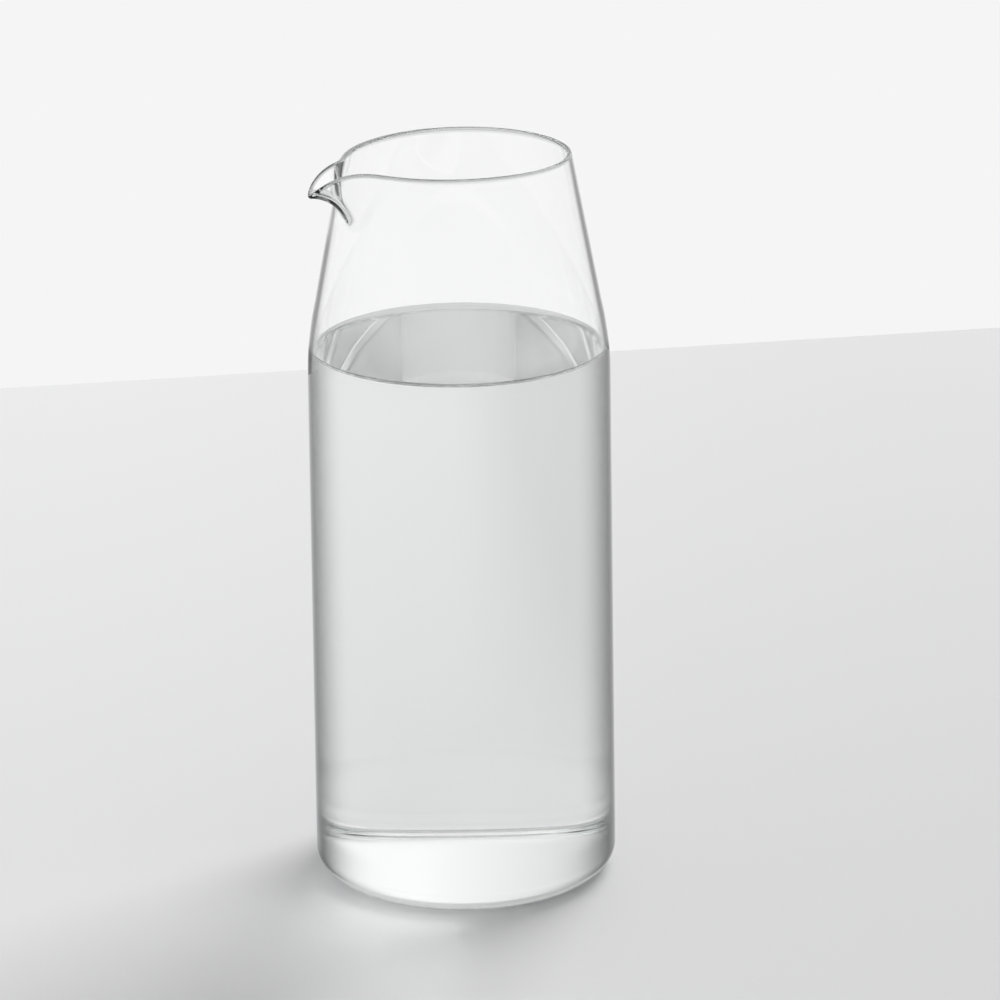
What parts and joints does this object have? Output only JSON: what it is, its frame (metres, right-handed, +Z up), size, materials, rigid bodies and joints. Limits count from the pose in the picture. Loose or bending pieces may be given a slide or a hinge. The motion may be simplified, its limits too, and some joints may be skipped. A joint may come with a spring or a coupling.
{
  "type": "glass pitcher",
  "caption": "Clear glass pitcher with a straight round body, a tapered neck and a pulled pouring spout, holding water up to its shoulder.",
  "frame": {"origin": "middle of the flat base, on the surface the pitcher stands on", "axes": "+Z up along the pitcher's axis, -X towards the spout"},
  "size_m": [0.0964, 0.0918, 0.2243],
  "materials": {
    "clear_glass": "clear, polished",
    "water": "clear liquid"
  },
  "bodies": {
    "root": {"glass_body": "clear_glass", "water": "water"}
  },
  "joints": []
}
